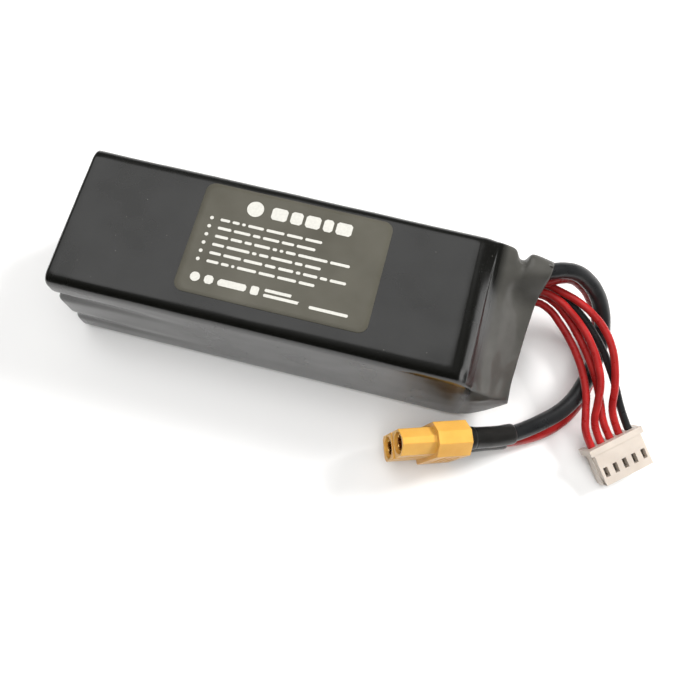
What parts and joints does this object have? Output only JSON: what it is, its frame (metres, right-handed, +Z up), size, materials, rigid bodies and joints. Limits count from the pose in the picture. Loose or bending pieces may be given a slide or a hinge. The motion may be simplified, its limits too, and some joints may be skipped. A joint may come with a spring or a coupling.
{
  "type": "lithium polymer battery pack",
  "caption": "Long flat-sided rechargeable pack in black shrink film, its leads leaving one corner of the front to a two-pole power plug and a flat balance plug.",
  "frame": {"origin": "on the resting face, under the middle of the wrapped pack, the leads and plugs left out", "axes": "+X along the pack towards the end the leads leave, +Z up from the resting face, +Y towards the side of the lead outlet"},
  "size_m": [0.1417, 0.0538, 0.029],
  "materials": {
    "wrap_film": "glossy black shrink film",
    "label": "satin printed film",
    "pouch_foil": "satin laminated foil",
    "nickel": "satin nickel strip",
    "foam_tape": "matt double-sided foam tape",
    "board": "green solder mask",
    "fish_paper": "matt insulating paper",
    "foam_pad": "matt foam",
    "polyimide": "clear amber tape",
    "solder": "bright solder",
    "red_silicone": "satin red silicone",
    "black_silicone": "satin black silicone",
    "black_sleeve": "matt heat-shrink sleeve",
    "amber_nylon": "satin amber nylon",
    "gold": "polished gold plate",
    "ivory_nylon": "satin ivory nylon",
    "tinned": "bright tin plate"
  },
  "bodies": {
    "root": {"balance_board": "board", "balance_plug_housing": "ivory_nylon", "balance_terminal_1": "tinned", "balance_terminal_2": "tinned", "balance_terminal_3": "tinned", "balance_terminal_4": "tinned", "balance_terminal_5": "tinned", "balance_wire_1": "red_silicone", "balance_wire_2": "red_silicone", "balance_wire_3": "red_silicone", "balance_wire_4": "red_silicone", "balance_wire_5": "black_silicone", "board_insulator": "fish_paper", "bottom_guard": "fish_paper", "cell_1": "pouch_foil", "cell_1_tab_negative": "nickel", "cell_1_tab_positive": "nickel", "cell_2": "pouch_foil", "cell_2_tab_negative": "nickel", "cell_2_tab_positive": "nickel", "cell_3": "pouch_foil", "cell_3_tab_negative": "nickel", "cell_3_tab_positive": "nickel", "cell_4": "pouch_foil", "cell_4_tab_negative": "nickel", "cell_4_tab_positive": "nickel", "cell_tape_1": "foam_tape", "cell_tape_2": "foam_tape", "cell_tape_3": "foam_tape", "contact_sleeve_negative": "black_sleeve", "contact_sleeve_positive": "black_sleeve", "label": "label", "main_lead_negative": "black_silicone", "main_lead_positive": "red_silicone", "power_contact_negative": "gold", "power_contact_positive": "gold", "power_plug_housing": "amber_nylon", "rear_pad": "foam_pad", "shrink_wrap": "wrap_film", "solder_joint_balance_1": "solder", "solder_joint_balance_2": "solder", "solder_joint_balance_3": "solder", "solder_joint_balance_4": "solder", "solder_joint_balance_5": "solder", "solder_joint_negative": "solder", "solder_joint_positive": "solder", "stack_band_1": "polyimide", "stack_band_2": "polyimide", "top_guard": "fish_paper"}
  },
  "joints": []
}
